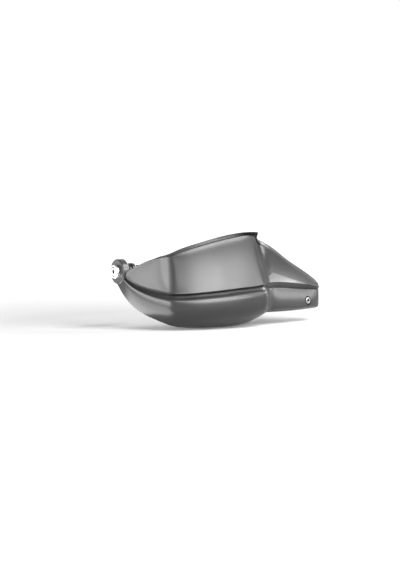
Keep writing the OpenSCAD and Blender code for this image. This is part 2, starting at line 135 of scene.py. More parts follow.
class NodeSheet:
    """Adds and links nodes on one node tree, from left to right."""

    def __init__(self, tree: bpy.types.NodeTree) -> None:
        """Keeps the tree and empties it.

        Args:
            tree: the material's or group's node tree.
        """
        self.tree = tree
        self.tree.nodes.clear()
        self.count = 0

    def add(self, kind: str, values: dict[str | int, object] | None = None, **settings: object) -> Sockets:
        """Adds a node.

        Args:
            kind: the node's type name.
            values: socket values, or output sockets to link, by input name or number.
            settings: properties of the node itself.

        Returns:
            The new node's output sockets.
        """
        node = self.tree.nodes.new(kind)
        node.location = (self.count * 190, -(self.count % 3) * 160)
        self.count += 1
        for name, value in settings.items():
            setattr(node, name, value)
        for key, value in (values or {}).items():
            if isinstance(value, Socket):
                self.tree.links.new(value, node.inputs[key])
            else:
                node.inputs[key].default_value = value
        return node.outputs

    def math(self, operation: str, first: object, second: object = 0.0) -> Socket:
        """Adds a Math node on two sockets or numbers, and returns its output."""
        return self.add("ShaderNodeMath", {0: first, 1: second}, operation=operation)[0]

    def span(self, value: Socket, source: Sequence[object], target: Sequence[float] = (0.0, 1.0)) -> Socket:
        """Maps the source's lowest and highest value on to the target's, clamped, and returns the socket."""
        return self.add("ShaderNodeMapRange", {"Value": value, "From Min": source[0], "From Max": source[1],
                                               "To Min": target[0], "To Max": target[1]})["Result"]

    def blend(self, share: object, first: object, second: object) -> Socket:
        """Mixes two colours or colour sockets by the second one's share, and returns the socket."""
        pair = [(*colour, 1.0) if isinstance(colour, tuple) else colour for colour in (first, second)]
        return self.add("ShaderNodeMix", {0: share, 6: pair[0], 7: pair[1]}, data_type="RGBA")[2]

    def seen(self) -> Socket:
        """Tells the rays that see the background from those that light the object.

        Returns:
            A socket that is 1 for camera, glossy and transmission rays, and 0 for the rest.
        """
        path = self.add("ShaderNodeLightPath")
        return self.math("MAXIMUM", path["Is Camera Ray"],
                         self.math("MAXIMUM", path["Is Glossy Ray"], path["Is Transmission Ray"]))


def new_material(name: str) -> tuple[Material, NodeSheet, Socket]:
    """Starts a material.

    Args:
        name: the material's name.

    Returns:
        The material, its sheet and the socket of the object's own coordinates.
    """
    material = bpy.data.materials.new(name)
    material.use_nodes = True
    sheet = NodeSheet(material.node_tree)
    return material, sheet, sheet.add("ShaderNodeTexCoord")["Object"]


class GroupKit:
    """The node groups that more than one finish uses, each built once."""

    def __init__(self) -> None:
        """Builds the three groups."""
        self.grain = self.build_grain()
        self.edges = self.build_edges()
        self.turning = self.build_turning()

    @staticmethod
    def open_group(name: str, inputs: dict[str, float], outputs: Iterable[str]) -> tuple[NodeSheet, Sockets]:
        """Starts a group with a Vector input and named number sockets.

        Args:
            name: the group's name.
            inputs: default of each number input, by name.
            outputs: name of each number output.

        Returns:
            The sheet and the sockets of the group's input.
        """
        tree = bpy.data.node_groups.new(name, "ShaderNodeTree")
        tree.interface.new_socket(name="Vector", in_out="INPUT", socket_type="NodeSocketVector")
        for label, default in inputs.items():
            socket = tree.interface.new_socket(name=label, in_out="INPUT", socket_type="NodeSocketFloat")
            socket.default_value = default
        for label in outputs:
            tree.interface.new_socket(name=label, in_out="OUTPUT", socket_type="NodeSocketFloat")
        sheet = NodeSheet(tree)
        return sheet, sheet.add("NodeGroupInput")

    def build_grain(self) -> bpy.types.NodeTree:
        """Spark-eroded grain of a mould or cast skin: fine pits with slow patches over them.

        Returns:
            The group, with a Height for bump and a Patch between 0 and 1.
        """
        sheet, source = self.open_group("moulded_grain", {"Scale": 1500.0, "Patch Scale": 30.0},
                                        ("Height", "Patch"))
        place, scale = source["Vector"], source["Scale"]
        pits = sheet.add("ShaderNodeTexNoise", {"Vector": place, "Scale": scale, "Detail": 3.0, "Roughness": 0.6})
        cells = sheet.add("ShaderNodeTexVoronoi", {"Vector": place, "Scale": scale, "Randomness": 1.0})
        patch = sheet.add("ShaderNodeTexNoise", {"Vector": place, "Scale": source["Patch Scale"], "Detail": 2.0})
        height = sheet.math("ADD", sheet.math("MULTIPLY", pits[0], 0.65),
                            sheet.math("MULTIPLY", cells["Distance"], 0.35))
        sheet.add("NodeGroupOutput", {"Height": height, "Patch": sheet.span(patch[0], (0.2, 0.8))})
        return sheet.tree

    def build_edges(self) -> bpy.types.NodeTree:
        """Rubbed edges: the convex rims of a piece, broken up by noise.

        Returns:
            The group, with a Mask between 0 and 1.
        """
        sheet, source = self.open_group("rubbed_edges", {"Start": 0.52, "End": 0.62, "Breakup": 220.0}, ("Mask",))
        shape = sheet.add("ShaderNodeNewGeometry")
        specks = sheet.add("ShaderNodeTexNoise", {"Vector": source["Vector"], "Scale": source["Breakup"],
                                                  "Detail": 4.0})
        rim = sheet.span(shape["Pointiness"], (source["Start"], source["End"]))
        mask = sheet.math("MULTIPLY", rim, sheet.span(specks[0], (0.35, 0.65)))
        sheet.add("NodeGroupOutput", {"Mask": mask})
        return sheet.tree

    def build_turning(self) -> bpy.types.NodeTree:
        """Tool marks of a lathe: fine rings round the piece's own Z axis.

        Returns:
            The group, with a Height for bump and a Streak between 0 and 1.
        """
        sheet, source = self.open_group("turning_marks", {"Rings": 2600.0}, ("Height", "Streak"))
        parts = sheet.add("ShaderNodeSeparateXYZ", {"Vector": source["Vector"]})
        squares = [sheet.math("POWER", part, 2.0) for part in parts[:2]]
        track = sheet.math("ADD", sheet.math("SQRT", sheet.math("ADD", *squares)), parts[2])
        fine = sheet.add("ShaderNodeTexNoise", {"W": sheet.math("MULTIPLY", track, source["Rings"]),
                                                "Scale": 1.0, "Detail": 2.0}, noise_dimensions="1D")
        broad = sheet.add("ShaderNodeTexNoise", {"W": sheet.math("MULTIPLY", track, 420.0), "Scale": 1.0},
                          noise_dimensions="1D")
        sheet.add("NodeGroupOutput", {"Height": fine[0], "Streak": sheet.span(broad[0], (0.35, 0.65))})
        return sheet.tree


# Finishes


@dataclass(frozen=True)
class MouldedFinish:
    """Satin moulded plastic or rubber with a fine spark-eroded grain."""

    name: str
    colour: Colour
    patch_colour: Colour
    rub_colour: Colour
    roughness: tuple[float, float] = (0.36, 0.46)
    grain_scale: float = 1500.0
    grain_depth: float = 0.00003
    grain_strength: float = 0.25
    rub: tuple[float, float] = (0.53, 0.66)
    specular: float = 0.5

    def dress(self, kit: GroupKit) -> Material:
        """Builds the material.

        Args:
            kit: the shared node groups.

        Returns:
            The material.
        """
        material, sheet, place = new_material(self.name)
        grain = sheet.add("ShaderNodeGroup", {"Vector": place, "Scale": self.grain_scale}, node_tree=kit.grain)
        edges = sheet.add("ShaderNodeGroup", {"Vector": place, "Start": self.rub[0], "End": self.rub[1]},
                          node_tree=kit.edges)
        tone = sheet.blend(grain["Patch"], self.colour, self.patch_colour)
        bump = sheet.add("ShaderNodeBump", {"Strength": self.grain_strength, "Distance": self.grain_depth,
                                            "Height": grain["Height"]})
        shader = sheet.add("ShaderNodeBsdfPrincipled", {
            "Base Color": sheet.blend(edges["Mask"], tone, self.rub_colour),
            "Roughness": sheet.span(grain["Patch"], (0.0, 1.0), self.roughness),
            "Normal": bump[0], "Specular IOR Level": self.specular})
        sheet.add("ShaderNodeOutputMaterial", {"Surface": shader[0]})
        return material


@dataclass(frozen=True)
class MetalFinish:
    """Plated, turned or anodised metal with tool marks round one axis, or round a mirrored pair of them."""

    name: str
    colour: Colour
    streak_colour: Colour
    axis: Axis = Axis.GRIP
    metallic: float = 1.0
    roughness: tuple[float, float] = (0.2, 0.34)
    rings: float = 2600.0
    patch_scale: float = 260.0
    mark_depth: float = 0.00002
    mark_strength: float = 0.3
    shift: Point = (0.0, 0.0, 0.0)
    pair: bool = False

    def dress(self, kit: GroupKit) -> Material:
        """Builds the material.

        Args:
            kit: the shared node groups.

        Returns:
            The material.
        """
        material, sheet, place = new_material(self.name)
        if self.pair:
            place = sheet.add("ShaderNodeVectorMath", {0: place}, operation="ABSOLUTE")[0]
        origin = self.axis.origin + Vector(self.shift) * MM
        local = sheet.add("ShaderNodeMapping", {"Vector": place, "Location": origin, "Rotation": self.axis.turn},
                          vector_type="TEXTURE")[0]
        marks = sheet.add("ShaderNodeGroup", {"Vector": local, "Rings": self.rings}, node_tree=kit.turning)
        grain = sheet.add("ShaderNodeGroup", {"Vector": place, "Patch Scale": self.patch_scale},
                          node_tree=kit.grain)
        share = sheet.math("MULTIPLY", marks["Streak"], sheet.span(grain["Patch"], (0.0, 1.0), (0.4, 1.0)))
        bump = sheet.add("ShaderNodeBump", {"Strength": self.mark_strength, "Distance": self.mark_depth,
                                            "Height": marks["Height"]})
        shader = sheet.add("ShaderNodeBsdfPrincipled", {
            "Base Color": sheet.blend(share, self.colour, self.streak_colour),
            "Roughness": sheet.span(share, (0.0, 1.0), self.roughness),
            "Normal": bump[0], "Metallic": self.metallic})
        sheet.add("ShaderNodeOutputMaterial", {"Surface": shader[0]})
        return material


class Wardrobe:
    """The object's finishes, each built once and handed to the pieces that wear it."""

    def __init__(self, kit: GroupKit) -> None:
        """Builds every finish.

        Args:
            kit: the shared node groups.
        """
        self.shell = MouldedFinish("satin_moulding", (0.0105, 0.0105, 0.011), (0.012, 0.012, 0.0125),
                                   (0.07, 0.07, 0.073), roughness=(0.3, 0.36), specular=0.55).dress(kit)
        self.rubber = MouldedFinish("matt_rubber", (0.016, 0.016, 0.017), (0.028, 0.028, 0.029),
                                    (0.05, 0.05, 0.05), roughness=(0.68, 0.82), grain_scale=900.0,
                                    grain_strength=0.4, specular=0.35).dress(kit)
        self.powder = MouldedFinish("black_powder_coat", (0.022, 0.022, 0.023), (0.03, 0.03, 0.031),
                                    (0.2, 0.2, 0.2), roughness=(0.42, 0.55), grain_scale=700.0,
                                    grain_depth=0.00006, grain_strength=0.45, rub=(0.56, 0.72)).dress(kit)
        self.anodised = MetalFinish("black_anodised", (0.03, 0.03, 0.033), (0.05, 0.05, 0.053),
                                    metallic=0.85, roughness=(0.28, 0.4)).dress(kit)
        self.cap = MetalFinish("turned_aluminium", (0.7, 0.71, 0.72), (0.55, 0.56, 0.57),
                               roughness=(0.2, 0.32)).dress(kit)
        self.grip_steel = MetalFinish("plated_steel_grip", (0.72, 0.73, 0.74), (0.56, 0.57, 0.58)).dress(kit)
        self.arm_steel = MetalFinish("plated_steel_arm", (0.34, 0.345, 0.35), (0.24, 0.245, 0.25),
                                     axis=Axis.ARM, roughness=(0.26, 0.38)).dress(kit)
        self.pair_steel = MetalFinish("plated_steel_pair", (0.66, 0.67, 0.68), (0.5, 0.51, 0.52),
                                      axis=Axis.UPRIGHT, shift=(0.0, 16.7, 0.0), pair=True).dress(kit)
        self.dull_steel = MetalFinish("dull_steel_arm", (0.05, 0.05, 0.053), (0.09, 0.09, 0.094),
                                      axis=Axis.ARM, roughness=(0.36, 0.5)).dress(kit)
        # Painted shade: near-black colour on the faces inside the screw sockets, standing in for the shade in the
        # socket's hollow.
        self.socket = MouldedFinish("socket_painted_shade", (0.012, 0.012, 0.012), (0.03, 0.03, 0.03),
                                    (0.06, 0.06, 0.06), roughness=(0.5, 0.7), specular=0.2).dress(kit)
        self.bracket_steel = MetalFinish("plated_steel_bracket", (0.66, 0.67, 0.68), (0.5, 0.51, 0.52),
                                         shift=(0.0, -29.8, -19.0)).dress(kit)


# Mesh making


def register(bm: BMesh, name: str, material: Material,
             nodes: Sequence[str], sharp: float | Callable[[bmesh.types.BMEdge], bool] = 32.0,
             inner: Material | None = None) -> bpy.types.Object:
    """Turns a finished bmesh into a piece that stands for its CAD nodes.

    Args:
        bm: the mesh, in metres and in place; it is freed.
        name: the piece's name.
        material: its finish.
        nodes: the CAD nodes that the piece stands for.
        sharp: edges that turn by more than this many degrees stay crisp, or a test of one edge.
        inner: finish of the faces with material index 1, such as the painted shade inside a socket.

    Returns:
        The new object.
    """
    if not callable(sharp):
        bmesh.ops.remove_doubles(bm, verts=bm.verts, dist=2e-7)
    bm.edges.index_update()
    for face in bm.faces:
        face.smooth = True
    for edge in bm.edges:
        crisp = sharp(edge) if callable(sharp) else edge.calc_face_angle(0.0) > math.radians(sharp)
        edge.smooth = not (edge.is_manifold and crisp)
    mesh = bpy.data.meshes.new(name)
    bm.to_mesh(mesh)
    bm.free()
    mesh.materials.append(material)
    if inner:
        mesh.materials.append(inner)
    piece = bpy.data.objects.new(name, mesh)
    bpy.context.scene.collection.objects.link(piece)
    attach(piece, BODY)
    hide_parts(*nodes)
    log.info("%s: %d faces for %s", name, len(mesh.polygons), ", ".join(nodes))
    return piece


@dataclass(frozen=True)
class Ring:
    """One ring of a turned profile, in mm: radius, height and outline."""

    radius: float
    height: float
    form: Form = Form.ROUND


def profile(*points: tuple[float, float] | tuple[float, float, Form]) -> list[Ring]:
    """Makes the rings of a profile from radius, height and, where it isn't round, outline of each."""
    return [Ring(*point) for point in points]


def out_of_round(form: Form, angle: float) -> float:
    """Share of a ring's radius at an angle.

    Args:
        form: the ring's outline.
        angle: angle round the axis, in radians.

    Returns:
        The factor on the radius; a hexagon's radius is measured to its corners.
    """
    if form is Form.HEXAGON:
        part = (angle % (math.pi / 3)) - math.pi / 6
        return math.cos(math.pi / 6) / math.cos(part)
    if form is Form.KNURL:
        depth, teeth = 0.022, 36
        return 1.0 - depth * (0.5 + 0.5 * math.cos(angle * teeth))
    return 1.0


def fillet(corner: Ring, before: tuple[float, float], after: tuple[float, float], size: float,
           steps: int) -> list[Ring]:
    """Rounds one corner of a profile with a short arc.

    Args:
        corner: the sharp corner.
        before: direction from the corner back along the profile.
        after: direction from the corner on along the profile.
        size: radius of the arc, in mm.
        steps: number of segments.

    Returns:
        The rings of the arc.
    """
    start = Vector((corner.radius, corner.height)) + Vector(before) * size
    end = Vector((corner.radius, corner.height)) + Vector(after) * size
    centre = start + Vector(after) * size
    points = [start]
    for i in range(1, steps):
        swing = math.pi / 2 * i / steps
        points.append(centre - Vector(after) * size * math.cos(swing) - Vector(before) * size * math.sin(swing))
    return [Ring(point.x, point.y, corner.form) for point in (*points, end)]


def collar(length: float, outer: float, inner: float, edge: float = 0.2,
           bore_edge: float | None = None) -> list[Ring]:
    """Profile of a washer, sleeve or pad with broken edges.

    Args:
        length: its length along the axis.
        outer: outer diameter.
        inner: bore.
        edge: width of the broken edges.
        bore_edge: their width at the bore, where it differs.

    Returns:
        The rings, to be closed.
    """
    big, small, rim = outer / 2, inner / 2, edge if bore_edge is None else bore_edge
    return profile((small, rim), (small + rim, 0.0), (big - edge, 0.0), (big, edge), (big, length - edge),
                   (big - edge, length), (small + rim, length), (small, length - rim))


def turn(rings: Sequence[Ring], segments: int = 96, closed: bool = False) -> BMesh:
    """Spins a profile round Z.

    Args:
        rings: the profile, from one end to the other.
        segments: steps round the axis.
        closed: True where the profile's ends meet, as on a washer.

    Returns:
        The turned mesh, in mm, along +Z.
    """
    bm = bmesh.new()
    verts = [bm.verts.new((ring.radius, 0.0, ring.height)) for ring in rings]
    pairs = list(zip(verts, verts[1:])) + ([(verts[-1], verts[0])] if closed else [])
    edges = [bm.edges.new(pair) for pair in pairs]
    bmesh.ops.spin(bm, geom=verts + edges, cent=(0, 0, 0), axis=(0, 0, 1), angle=2 * math.pi,
                   steps=segments, use_merge=True, use_duplicate=False)
    shaped = {(round(r.radius, 4), round(r.height, 4)): r.form for r in rings if r.form is not Form.ROUND}
    for vert in bm.verts:
        form = shaped.get((round(math.hypot(vert.co.x, vert.co.y), 4), round(vert.co.z, 4)))
        if form:
            factor = out_of_round(form, math.atan2(vert.co.y, vert.co.x))
            vert.co.x *= factor
            vert.co.y *= factor
    bmesh.ops.remove_doubles(bm, verts=bm.verts, dist=1e-5)
    bmesh.ops.recalc_face_normals(bm, faces=bm.faces)
    return bm


def placed(bm: BMesh, matrix: Matrix) -> BMesh:
    """Moves a mesh that is drawn in mm to its place in metres, and returns it."""
    bmesh.ops.transform(bm, matrix=matrix, verts=bm.verts)
    return bm


def turned(rings: Sequence[Ring], axis: Axis, start: float, segments: int = 96) -> BMesh:
    """Turns a closed profile on its axis, where its height zero lies at the start, in mm."""
    return placed(turn(rings, segments, closed=True), axis.place(start))


def paint_socket_shade(bm: BMesh, corner: float, low: float, high: float) -> None:
    """Marks the faces inside a socket for the second finish, the dark painted shade of the socket's hollow.

    Args:
        bm: the turned piece, in mm, along Z.
        corner: radius of the socket to its corners.
        low: lowest height of the socket's faces.
        high: highest height of the socket's faces.
    """
    for face in bm.faces:
        middle = face.calc_center_median()
        if math.hypot(middle.x, middle.y) < corner * 1.01 and low < middle.z < high:
            face.material_index = 1


def thread(diameter: float, pitch: float, start: float, length: float) -> BMesh:
    """Screws a single tooth round Z for a visible thread.

    Args:
        diameter: outer diameter, in mm.
        pitch: rise of one turn, in mm.
        start: height where the thread starts.
        length: threaded length.

    Returns:
        The threaded stud with its ends closed, in mm, along +Z.
    """
    segments = 36
    crest, root = diameter / 2, diameter / 2 - 0.6 * pitch
    turns = max(1, int(length / pitch) - 1)
    bm = bmesh.new()
    tooth = ((crest, 0.0), (crest, 0.12), (root, 0.45), (root, 0.6), (crest, 1.0))
    verts = [bm.verts.new((radius, 0.0, start + rise * pitch)) for radius, rise in tooth]
    edges = [bm.edges.new(pair) for pair in zip(verts, verts[1:])]
    bmesh.ops.spin(bm, geom=verts + edges, cent=(0, 0, 0), axis=(0, 0, 1), angle=2 * math.pi * turns,
                   steps=segments * turns, dvec=(0, 0, pitch / segments), use_merge=False, use_duplicate=False)
    bmesh.ops.remove_doubles(bm, verts=bm.verts, dist=1e-4)
    bmesh.ops.holes_fill(bm, edges=[edge for edge in bm.edges if edge.is_boundary], sides=0)
    bmesh.ops.recalc_face_normals(bm, faces=bm.faces)
    return bm


def merged(parts: Iterable[BMesh]) -> BMesh:
    """Gathers several meshes in one.

    Args:
        parts: the meshes; all but the result are freed.

    Returns:
        One bmesh that holds them all.
    """
    whole = bmesh.new()
    for part in parts:
        mesh = bpy.data.meshes.new("gathering")
        part.to_mesh(mesh)
        part.free()
        whole.from_mesh(mesh)
        bpy.data.meshes.remove(mesh)
    return whole


def deburred(node: str, width: float, segments: int = 3) -> BMesh:
    """Copies a CAD node's mesh, joins its flat faces and rounds its sharp edges.

    Args:
        node: the node's name.
        width: width of the rounding, in mm.
        segments: segments of the rounding.

    Returns:
        The copy, in metres.
    """
    flat, least = math.radians(0.6), math.radians(28.0)
    bm = bmesh.new()
    bm.from_mesh(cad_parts[node].data)
    bmesh.ops.remove_doubles(bm, verts=bm.verts, dist=2e-6)
    bmesh.ops.dissolve_limit(bm, angle_limit=flat, use_dissolve_boundaries=False, verts=bm.verts, edges=bm.edges)
    edges = [edge for edge in bm.edges if edge.is_manifold and edge.calc_face_angle(0.0) > least]
    bmesh.ops.bevel(bm, geom=edges, offset=width * MM, offset_type="OFFSET", affect="EDGES",
                    segments=segments, profile=0.5, clamp_overlap=True, material=-1)
    return bm


# Sub-assemblies


@dataclass
class Shell:
    """The one-piece moulding: belt, scooped panel, lip, wing, arm and bar-end eye.

    Spans are places along the grip, in mm; angles are in degrees.
    """

    join_angles: tuple[float, float] = (25.0, 60.0)
    belt_crease: float = 30.0
    wing_crease: float = 12.0
    wing_from: float = -56.0
    crease_run: float = 4.0
    crisp_from: float = 0.6
    levels: int = 1
    arm_span: Span = (-52.0, -40.0, 37.0, 49.5)
    arm_foot: tuple[float, float] = (-59.3, -61.6)
    arm_top: tuple[float, float] = (-30.3, -39.0)
    arm_ends: tuple[float, float] = (-46.8, 46.8)
    arm_skin: tuple[float, float, float] = (-1.0, 1.0, 6.0)
    arm_rise: tuple[float, float] = (-0.2, 1.25)
    foot_out: float = 2.0
    top_back: float = 3.2
    crown_share: float = 0.45
    recess_r: float = 7.2
    recess_edge: float = 0.2
    bend_box: Span = (-256.0, -202.0, -25.0, 32.0)
    bend_rounds: int = 6
    bend_fade: float = 17.0
    bend_sharp: float = 40.0
    bend_ahead: float = -0.3
    rim_span: Span = (-222.0, -208.0, -108.0, -94.0)
    rim_roll: float = 1.05
    rim_sharp: float = 50.0
    rim_ahead: float = 0.4
    rim_reach: tuple[float, float] = (-2.4, 0.6)
    lip_span: Span = (-238.0, -222.0, -122.0, -98.0)
    lip_middle: float = -161.0
    lip_root: tuple[float, float, float] = (44.4, 19.8, -8.9)
    lip_start: float = 0.35
    lip_lean: tuple[float, float] = (0.1, 0.66)

    def root(self, x: float) -> float:
        """Height of the lip's root at a place along the grip, in mm."""
        along = (x - self.lip_middle) / 100.0
        return self.lip_root[0] + self.lip_root[1] * along + self.lip_root[2] * along * along

    def crown(self, bm: BMesh) -> None:
        """Leans and crowns the arm's outer face, so that its top looks up and its foot looks ahead.

        Args:
            bm: the copy of the moulding, in metres.
        """
        inward = (Axis.ARM.turn.to_matrix() @ Vector((0.0, 0.0, 1.0))).normalized()
        outside, skin, inside = self.arm_skin
        travel = self.foot_out + self.top_back
        for vert in bm.verts:
            away = vert.co - Axis.ARM.origin
            depth = away.dot(inward) / MM
            from_screw = (away - inward * away.dot(inward)).length / MM
            x, z = vert.co.x / MM, vert.co.z / MM
            if x < self.arm_span[0] or not outside < depth < inside:
                continue
            if depth > self.recess_edge and from_screw < self.recess_r:
                continue
            along = (x - self.arm_ends[0]) / (self.arm_ends[1] - self.arm_ends[0])
            foot = self.arm_foot[0] + (self.arm_foot[1] - self.arm_foot[0]) * along
            top = self.arm_top[0] + (self.arm_top[1] - self.arm_top[0]) * along
            if not self.arm_rise[0] < (z - foot) / (top - foot) < self.arm_rise[1]:
                continue
            rise, start = ramp(z, foot, top), ramp(x, *self.arm_span[:2])
            hold = soft(start) * ramp(x, self.arm_span[3], self.arm_span[2]) * ramp(depth, inside, skin)
            lean = self.foot_out - travel * ((1.0 - self.crown_share) * rise + self.crown_share * rise * rise)
            vert.co -= inward * lean * MM * hold

    def stand_lip(self, bm: BMesh) -> None:
        """Leans the flared lip back, so that its face looks ahead.

        Args:
            bm: the copy of the moulding, in metres.
        """
        for vert in bm.verts:
            x, z = vert.co.x / MM, vert.co.z / MM
            above = z - self.root(x) - self.lip_start
            if above > 0.0:
                more = ramp(x, self.lip_span[1], self.lip_span[2])
                lean = self.lip_lean[0] + (self.lip_lean[1] - self.lip_lean[0]) * more
                vert.co.y += lean * plateau(x, self.lip_span) * above * MM

    def roll_rim(self, bm: BMesh) -> None:
        """Rolls the panel's upper edge back below the lip, so that it catches the high light.

        Args:
            bm: the copy of the moulding, in metres.
        """
        rim: set[bmesh.types.BMVert] = set()
        for edge in bm.edges:
            if not edge.is_manifold or edge.calc_face_angle_signed(0.0) < math.radians(self.rim_sharp):
                continue
            ahead = edge.link_faces[0].normal + edge.link_faces[1].normal
            if ahead.z >= self.rim_ahead and ahead.y <= -self.rim_ahead:
                rim.update(edge.verts)
        for vert in rim:
            x = vert.co.x / MM
            if self.rim_reach[0] < vert.co.z / MM - self.root(x) < self.rim_reach[1]:
                vert.co.y += self.rim_roll * plateau(x, self.rim_span) * MM

    def ease_bend(self, bm: BMesh) -> None:
        """Eases the bend at the panel's left over a wider strip.

        Args:
            bm: the copy of the moulding, in metres.
        """
        first, last, low, high = self.bend_box
        sharp = {vert for edge in bm.edges if edge.is_manifold
                 and edge.calc_face_angle(0.0) > math.radians(self.bend_sharp) for vert in edge.verts}
        strip = [vert for vert in bm.verts
                 if first < vert.co.x / MM < last and low < vert.co.z / MM < high
                 and vert.normal.y < self.bend_ahead and vert not in sharp]
        before = [vert.co.y for vert in strip]
        for _ in range(self.bend_rounds):
            bmesh.ops.smooth_vert(bm, verts=strip, factor=0.5, use_axis_y=True)
        fade = (first, first + self.bend_fade, last - self.bend_fade, last)
        for vert, y in zip(strip, before):
            vert.co.y = y + (vert.co.y - y) * soft(plateau(vert.co.x / MM, fade))

    def build(self, wardrobe: Wardrobe) -> list[bpy.types.Object]:
        """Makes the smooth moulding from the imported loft.

        Args:
            wardrobe: the finishes.

        Returns:
            The pieces made.
        """
        bm = bmesh.new()
        bm.from_mesh(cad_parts["guard_shell"].data)
        bmesh.ops.remove_doubles(bm, verts=bm.verts, dist=2e-6)
        face_limit, shape_limit = (math.radians(angle) for angle in self.join_angles)
        bmesh.ops.join_triangles(bm, faces=bm.faces, angle_face_threshold=face_limit,
                                 angle_shape_threshold=shape_limit)
        layer = bm.edges.layers.float.new("crease_edge")
        for edge in bm.edges:
            if edge.is_manifold:
                bend = math.degrees(edge.calc_face_angle(0.0))
                start = self.wing_crease if edge.verts[0].co.x > self.wing_from * MM else self.belt_crease
                edge[layer] = ramp(bend, start, start + self.crease_run)
        bm.normal_update()
        for shape in (self.ease_bend, self.roll_rim, self.crown, self.stand_lip):
            shape(bm)
        creased = {index for index, edge in enumerate(bm.edges) if edge[layer] > self.crisp_from}
        shell = register(bm, "moulded_shell", wardrobe.shell, ["guard_shell"],
                         sharp=lambda edge: edge.index in creased)
        smooth = shell.modifiers.new("smooth_skin", "SUBSURF")
        smooth.levels = self.levels
        smooth.render_levels = self.levels
        return [shell]


@dataclass
class BarEnd:
    """The stack on the bar end: cup washer, screw, bush, spacer, washers, plug and cone nut."""

    eye_face: float = -281.6
    eye_depth: float = 10.5
    cap_d: float = 21.0
    cap_h: float = 6.2
    floor_t: float = 1.8
    head_d: float = 13.0
    head_h: float = 4.4
    socket: float = 5.0
    socket_depth: float = 2.6
    screw_d: float = 8.0
    pitch: float = 1.25
    thread_len: float = 26.0
    hole_d: float = 8.6
    bush_d: float = 12.6
    spacer_len: float = 18.0
    spacer_d: float = 24.0
    waist_d: float = 20.0
    waist: tuple[float, float, float] = (0.3, 0.61, 0.09)
    washer_t: float = 1.5
    spigot_h: float = 1.5
    bar_d: float = 22.2
    plug_d: float = 17.4
    plug_len: float = 24.0
    ribs: int = 6
    cone_len: float = 12.0

    def cap(self) -> list[Ring]:
        """Cup washer: a turned dish with a rolled rim.

        Returns:
            Its profile.
        """
        outer, inner, hole = self.cap_d / 2, self.head_d / 2 + 0.6, self.hole_d / 2
        floor = self.cap_h - self.floor_t
        return (profile((hole, self.cap_h), (outer - 0.3, self.cap_h), (outer, self.cap_h - 0.3))
                + fillet(Ring(outer, 0.0), (0, 1), (-1, 0), 1.5, 8)
                + profile((inner + 0.5, 0.0), (inner + 0.15, 0.12), (inner, 0.5), (inner, floor - 0.4),
                          (inner - 0.4, floor), (hole + 0.2, floor), (hole, floor + 0.2)))

    def screw(self) -> BMesh:
        """Cap screw: a chamfered head with a hexagon socket, its shank and the threaded end.

        Returns:
            The mesh in place.
        """
        head, key, half, deep = self.head_d / 2, self.socket / math.sqrt(3), self.screw_d / 2, self.socket_depth
        end = (self.eye_depth + self.spacer_len + 2 * self.washer_t + self.spigot_h + self.plug_len
               + self.cone_len + self.floor_t + self.head_h - 0.5)
        tooth = end - self.thread_len
        rings = profile((0.0, deep + 0.7), (key * 0.86, deep, Form.HEXAGON), (key, deep - 0.1, Form.HEXAGON),
                        (key, 0.35, Form.HEXAGON), (key + 0.45, 0.0), (head - 1.3, 0.0))
        rings += fillet(Ring(head, 0.0), (-1, 0), (0, 1), 0.9, 6)
        rings += profile((head, self.head_h - 0.25), (head - 0.25, self.head_h), (half + 0.35, self.head_h),
                         (half, self.head_h + 0.35), (half, tooth), (half - 0.8, tooth + 0.6),
                         (half - 0.8, end - 0.6), (half - 1.4, end), (0.0, end))
        body = turn(rings)
        # The socket's faces get the dark painted shade.
        paint_socket_shade(body, key, 0.4, deep + 1.0)
        stud = thread(self.screw_d, self.pitch, tooth + 0.5, self.thread_len - 1.0)
        return placed(merged((body, stud)), Axis.GRIP.place(self.eye_face - self.floor_t - self.head_h))

    def spigot_washer(self) -> list[Ring]:
        """Washer that closes the tube's end, with the spigot that centres it.

        Returns:
            Its profile.
        """
        big, hole, spigot, deep = self.bar_d / 2, self.hole_d / 2, self.plug_d / 2 + 0.1, self.washer_t
        tip = deep + self.spigot_h
        return profile((hole, 0.2), (hole + 0.2, 0.0), (big - 0.3, 0.0), (big, 0.3), (big, deep - 0.2),
                       (big - 0.2, deep), (spigot, deep), (spigot, tip - 0.4), (spigot - 0.4, tip),
                       (hole + 0.2, tip), (hole, tip - 0.2))

    def spacer(self) -> list[Ring]:
        """Waisted spacer with rounded rims.

        Returns:
            Its profile.
        """
        big, slim, hole, length = self.spacer_d / 2, self.waist_d / 2, self.hole_d / 2, self.spacer_len
        narrowing, widening, run = self.waist
        steps = [(share, 0.5 - 0.5 * math.cos(math.pi * share)) for share in (0.0, 0.15, 0.35, 0.6, 0.85, 1.0)]
        return (profile((hole, 0.3), (hole + 0.3, 0.0), (big - 1.0, 0.0))
                + fillet(Ring(big, 0.0), (-1, 0), (0, 1), 0.9, 4)[1:]
                + [Ring(big + (slim - big) * swing, length * (narrowing + run * share)) for share, swing in steps]
                + [Ring(slim + (big - slim) * swing, length * (widening + run * share)) for share, swing in steps]
                + fillet(Ring(big, length), (0, -1), (-1, 0), 0.9, 4)
                + profile((hole + 0.3, length), (hole, length - 0.3)))

    def plug(self) -> list[Ring]:
        """Rubber plug with shallow ribs that grip the tube's wall.

        Returns:
            Its profile.
        """
        big, hole, length = self.plug_d / 2, self.hole_d / 2, self.plug_len
        rings = profile((hole, 0.0), (big - 0.9, 0.0), (big - 0.5, 0.5))
        step = (length - 2.4) / self.ribs
        for i in range(self.ribs):
            base = 1.2 + i * step
            rings += profile((big - 0.5, base), (big - 0.1, base + 0.25 * step), (big, base + 0.45 * step),
                             (big, base + 0.75 * step), (big - 0.4, base + 0.95 * step))
        return rings + profile((big - 0.5, length - 0.5), (big - 0.9, length), (hole, length))

